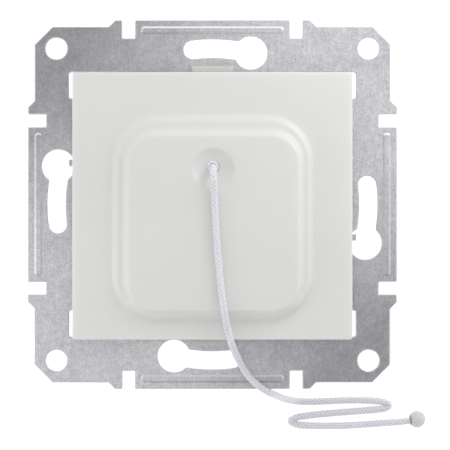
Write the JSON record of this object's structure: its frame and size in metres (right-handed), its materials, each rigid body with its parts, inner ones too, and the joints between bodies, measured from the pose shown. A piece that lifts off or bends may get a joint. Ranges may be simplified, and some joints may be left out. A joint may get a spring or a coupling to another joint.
{
  "type": "pull cord switch",
  "caption": "Flush-mounted pull cord switch: square steel support frame, off-white centre plate with a raised pad, and a braided cord with an end bead.",
  "frame": {"origin": "on the surface the housing rests on, under the middle of the support frame; the wall plane is 24 mm above it", "axes": "+Z out of the front plate, +Y up the wall, +X to the right seen from the front"},
  "size_m": [0.0774, 0.0797, 0.0361],
  "materials": {
    "galvanised_sheet": "matt, mottled zinc coating on stamped sheet",
    "plate_plastic": "off-white moulded plastic, fine matt texture",
    "carrier_plastic": "off-white moulded plastic, smooth satin",
    "bead_plastic": "off-white moulded plastic, satin",
    "housing_plastic": "pale grey-white moulded plastic, satin",
    "plunger_plastic": "coloured moulded plastic, satin",
    "braided_cord": "braided polyester, bluish white",
    "zinc_steel": "zinc-plated, satin",
    "spring_steel": "bright drawn wire",
    "brass": "stamped brass",
    "silver": "silver contact alloy, bright"
  },
  "bodies": {
    "switch_body": {"support_frame": "galvanised_sheet", "centre_plate": "plate_plastic", "front_carrier": "carrier_plastic", "cord_guide": "bead_plastic", "rear_housing": "housing_plastic", "cover_rivet_1": "zinc_steel", "cover_rivet_2": "zinc_steel", "cover_rivet_3": "zinc_steel", "cover_rivet_4": "zinc_steel", "return_spring": "spring_steel", "pull_cord_neck": "braided_cord", "contact_strip_left": "brass", "contact_strip_right": "brass", "fixed_contact_left": "silver", "fixed_contact_right": "silver", "terminal_block_left": "brass", "terminal_block_right": "brass"},
    "cord_end": {"pull_cord_outer": "braided_cord", "end_bead": "bead_plastic"},
    "plunger": {"pull_plunger": "plunger_plastic", "pull_cord_inner": "braided_cord", "cord_knot": "braided_cord", "contact_spring": "spring_steel"},
    "bridge": {"contact_bridge": "brass", "moving_contact_left": "silver", "moving_contact_right": "silver"},
    "claw_screw_left_body": {"claw_screw_left": "zinc_steel"},
    "claw_nut_left_body": {"claw_nut_left": "zinc_steel"},
    "claw_left_body": {"claw_left": "zinc_steel"},
    "terminal_screw_left_body": {"terminal_screw_left": "zinc_steel"},
    "claw_screw_right_body": {"claw_screw_right": "zinc_steel"},
    "claw_nut_right_body": {"claw_nut_right": "zinc_steel"},
    "claw_right_body": {"claw_right": "zinc_steel"},
    "terminal_screw_right_body": {"terminal_screw_right": "zinc_steel"}
  },
  "joints": [
    {"name": "cord_pull", "type": "slide", "parent": "switch_body", "child": "cord_end", "axis": [0, -1, 0], "range_m": [0, 0.006]},
    {"name": "plunger_lift", "type": "slide", "parent": "switch_body", "child": "plunger", "axis": [0, 0, 1], "range_m": [0, 0.006], "stiffness_N_per_m": 250, "springref_m": -0.004, "deforming": ["return_spring", "pull_cord_inner"]},
    {"name": "bridge_float", "type": "slide", "parent": "plunger", "child": "bridge", "axis": [0, 0, -1], "range_m": [0, 0.001], "deforming": ["contact_spring"]},
    {"name": "claw_screw_left_turn", "type": "hinge", "parent": "switch_body", "child": "claw_screw_left_body", "pos_m": [-0.022, 0.00085, 0.025], "axis": [0, 0, -1], "range_deg": [0, 4320]},
    {"name": "claw_nut_left_climb", "type": "slide", "parent": "switch_body", "child": "claw_nut_left_body", "axis": [0, 0, 1], "range_m": [0, 0.006]},
    {"name": "claw_left_spread", "type": "hinge", "parent": "switch_body", "child": "claw_left_body", "pos_m": [-0.022, 0.00085, 0.0195], "axis": [0, 1, 0], "range_deg": [0, 10.5]},
    {"name": "terminal_screw_left_turn", "type": "hinge", "parent": "switch_body", "child": "terminal_screw_left_body", "pos_m": [-0.009, -0.0173, 0.0153], "axis": [0, 1, 0], "continuous": true},
    {"name": "claw_screw_right_turn", "type": "hinge", "parent": "switch_body", "child": "claw_screw_right_body", "pos_m": [0.022, 0.00085, 0.025], "axis": [0, 0, -1], "range_deg": [0, 4320]},
    {"name": "claw_nut_right_climb", "type": "slide", "parent": "switch_body", "child": "claw_nut_right_body", "axis": [0, 0, 1], "range_m": [0, 0.006]},
    {"name": "claw_right_spread", "type": "hinge", "parent": "switch_body", "child": "claw_right_body", "pos_m": [0.022, 0.00085, 0.0195], "axis": [0, -1, 0], "range_deg": [0, 10.5]},
    {"name": "terminal_screw_right_turn", "type": "hinge", "parent": "switch_body", "child": "terminal_screw_right_body", "pos_m": [0.009, -0.0173, 0.0153], "axis": [0, 1, 0], "continuous": true}
  ],
  "couplings": [
    {"joint": "plunger_lift", "follows": "cord_pull", "ratio": 1},
    {"joint": "bridge_float", "follows": "cord_pull", "ratio": 0.16667},
    {"joint": "claw_nut_left_climb", "follows": "claw_screw_left_turn", "m_per_rad": 0.000079577},
    {"joint": "claw_left_spread", "follows": "claw_screw_left_turn", "ratio": 0.0024306},
    {"joint": "claw_nut_right_climb", "follows": "claw_screw_right_turn", "m_per_rad": 0.000079577},
    {"joint": "claw_right_spread", "follows": "claw_screw_right_turn", "ratio": 0.0024306}
  ]
}
